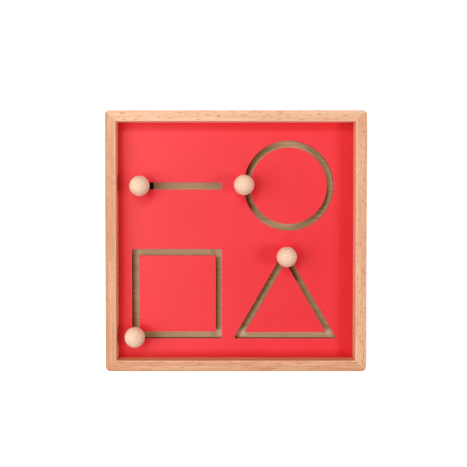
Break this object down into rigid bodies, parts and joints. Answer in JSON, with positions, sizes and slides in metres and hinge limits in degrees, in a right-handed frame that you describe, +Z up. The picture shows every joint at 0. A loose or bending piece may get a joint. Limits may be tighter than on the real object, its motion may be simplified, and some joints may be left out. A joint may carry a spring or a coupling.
{
  "type": "shape tracing board",
  "caption": "Square wooden tracing board: a mitred beech frame round a red panel with line, circle, square and triangle grooves, each guiding a captive ball knob.",
  "frame": {"origin": "centre of the frame's underside, on the surface that the board lies on", "axes": "+Z up out of the board, +X to the right and +Y to the far side as the board is read, with the line groove far left and the triangle near right"},
  "size_m": [0.3, 0.3, 0.0396],
  "materials": {
    "beech_frame": "satin clear-lacquered beech with short dark flecks along the grain",
    "beech_ball": "smooth clear-lacquered turned beech",
    "red_lacquer": "satin red lacquer on fibreboard",
    "plywood": "bare plywood",
    "black_plastic": "smooth black moulded plastic",
    "pale_plastic": "natural nylon",
    "steel": "zinc-plated steel"
  },
  "bodies": {
    "tray": {"rail_near": "beech_frame", "rail_right": "beech_frame", "rail_far": "beech_frame", "rail_left": "beech_frame", "base_board": "plywood", "track_sheet": "plywood", "red_panel": "red_lacquer", "circle_island": "red_lacquer", "circle_island_block": "plywood", "square_island": "red_lacquer", "square_island_block": "plywood", "triangle_island": "red_lacquer", "triangle_island_block": "plywood", "base_screw_1": "steel", "base_screw_2": "steel", "base_screw_3": "steel", "base_screw_4": "steel", "base_screw_5": "steel", "base_screw_6": "steel", "base_screw_7": "steel", "base_screw_8": "steel"},
    "line_glide": {"line_foot": "black_plastic"},
    "line_knob": {"line_ball_knob": "beech_ball", "line_knob_sleeve": "pale_plastic", "line_knob_screw": "steel"},
    "circle_glide": {"circle_foot": "black_plastic"},
    "circle_knob": {"circle_ball_knob": "beech_ball", "circle_knob_sleeve": "pale_plastic", "circle_knob_screw": "steel"},
    "square_glide": {"square_foot": "black_plastic"},
    "square_knob": {"square_ball_knob": "beech_ball", "square_knob_sleeve": "pale_plastic", "square_knob_screw": "steel"},
    "triangle_glide": {"triangle_foot": "black_plastic"},
    "triangle_knob": {"triangle_ball_knob": "beech_ball", "triangle_knob_sleeve": "pale_plastic", "triangle_knob_screw": "steel"}
  },
  "joints": [
    {"name": "line_slide", "type": "slide", "parent": "tray", "child": "line_glide", "axis": [1, 0, 0], "range_m": [-0.007, 0.091]},
    {"name": "circle_travel", "type": "hinge", "parent": "tray", "child": "circle_glide", "pos_m": [0.0619, 0.0638, 0.0055], "axis": [0, 0, 1], "continuous": true},
    {"name": "square_slide", "type": "slide", "parent": "tray", "child": "square_glide", "axis": [1, 0, 0], "range_m": [-0.0009, 0.0963]},
    {"name": "triangle_slide", "type": "slide", "parent": "tray", "child": "triangle_glide", "axis": [-0.5, -0.866, 0], "range_m": [0, 0.1075]},
    {"name": "line_spin", "type": "hinge", "parent": "line_glide", "child": "line_knob", "pos_m": [-0.1106, 0.0635, 0.0045], "axis": [0, 0, 1], "continuous": true},
    {"name": "circle_spin", "type": "hinge", "parent": "circle_glide", "child": "circle_knob", "pos_m": [0.0132, 0.0646, 0.00556], "axis": [-0.165, 0, 0.9863], "continuous": true},
    {"name": "square_spin", "type": "hinge", "parent": "square_glide", "child": "square_knob", "pos_m": [-0.1164, -0.111, 0.0045], "axis": [0, 0, 1], "continuous": true},
    {"name": "triangle_spin", "type": "hinge", "parent": "triangle_glide", "child": "triangle_knob", "pos_m": [0.0587, -0.0183, 0.0045], "axis": [0, 0, 1], "continuous": true}
  ]
}
